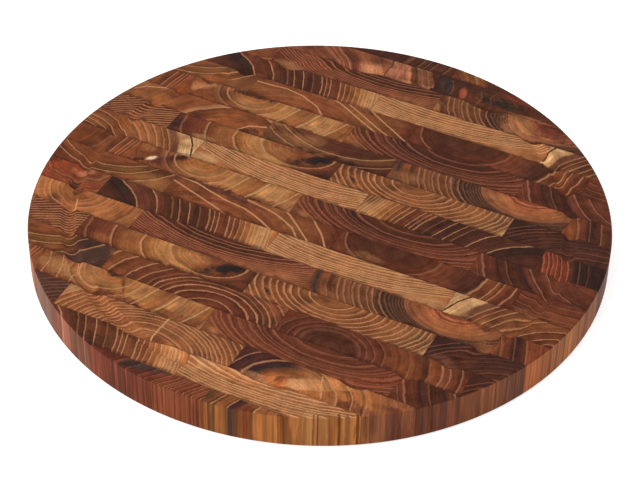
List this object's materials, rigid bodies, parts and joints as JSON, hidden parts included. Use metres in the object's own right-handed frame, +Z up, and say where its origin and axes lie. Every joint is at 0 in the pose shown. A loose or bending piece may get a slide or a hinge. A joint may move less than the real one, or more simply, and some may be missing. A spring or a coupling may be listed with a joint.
{
  "type": "round end-grain chopping block",
  "caption": "Round end-grain chopping block of teak rows laid like brickwork, with a juice groove cut near the rim.",
  "frame": {"origin": "centre of the flat underside, on the surface that the block stands on", "axes": "+Z up, out of the grooved chopping face; +X along the rows of blocks; +Y towards the back rows"},
  "size_m": [0.4, 0.4, 0.026],
  "materials": {
    "teak_dark": "satin",
    "teak_red_brown": "satin",
    "teak_brown": "satin",
    "teak_golden": "satin",
    "teak_olive": "satin",
    "teak_straw": "satin"
  },
  "bodies": {
    "root": {"back_row_1_block_1": "teak_brown", "back_row_1_block_2": "teak_straw", "back_row_1_block_3": "teak_red_brown", "back_row_1_block_4": "teak_dark", "back_row_2_block_1": "teak_red_brown", "back_row_2_block_2": "teak_golden", "back_row_2_block_3": "teak_golden", "back_row_2_block_4": "teak_dark", "back_row_3_block_1": "teak_red_brown", "back_row_3_block_2": "teak_olive", "back_row_3_block_3": "teak_brown", "back_row_3_block_4": "teak_red_brown", "back_row_4_block_1": "teak_red_brown", "back_row_4_block_2": "teak_golden", "back_row_4_block_3": "teak_red_brown", "back_row_4_block_4": "teak_dark", "back_row_5_block_1": "teak_olive", "back_row_5_block_2": "teak_brown", "back_row_5_block_3": "teak_dark", "back_row_5_block_4": "teak_red_brown", "back_row_6_block_1": "teak_dark", "back_row_6_block_2": "teak_brown", "back_row_6_block_3": "teak_straw", "back_row_6_block_4": "teak_olive", "back_row_7_blocks": "teak_brown", "back_row_8_blocks": "teak_brown", "back_row_9_blocks": "teak_red_brown", "front_row_1_block_1": "teak_olive", "front_row_1_block_2": "teak_brown", "front_row_1_block_3": "teak_dark", "front_row_1_block_4": "teak_red_brown", "front_row_2_block_1": "teak_red_brown", "front_row_2_block_2": "teak_brown", "front_row_2_block_3": "teak_straw", "front_row_2_block_4": "teak_olive", "front_row_3_block_1": "teak_brown", "front_row_3_block_2": "teak_red_brown", "front_row_3_block_3": "teak_olive", "front_row_3_block_4": "teak_brown", "front_row_4_block_1": "teak_red_brown", "front_row_4_block_2": "teak_golden", "front_row_4_block_3": "teak_golden", "front_row_4_block_4": "teak_dark", "front_row_5_block_1": "teak_olive", "front_row_5_block_2": "teak_red_brown", "front_row_5_block_3": "teak_dark", "front_row_5_block_4": "teak_red_brown", "front_row_6_block_1": "teak_red_brown", "front_row_6_block_2": "teak_golden", "front_row_6_block_3": "teak_red_brown", "front_row_6_block_4": "teak_dark", "front_row_7_blocks": "teak_brown", "front_row_8_blocks": "teak_brown", "front_row_9_blocks": "teak_red_brown", "middle_row_block_1": "teak_red_brown", "middle_row_block_2": "teak_golden", "middle_row_block_3": "teak_red_brown", "middle_row_block_4": "teak_dark"}
  },
  "joints": []
}
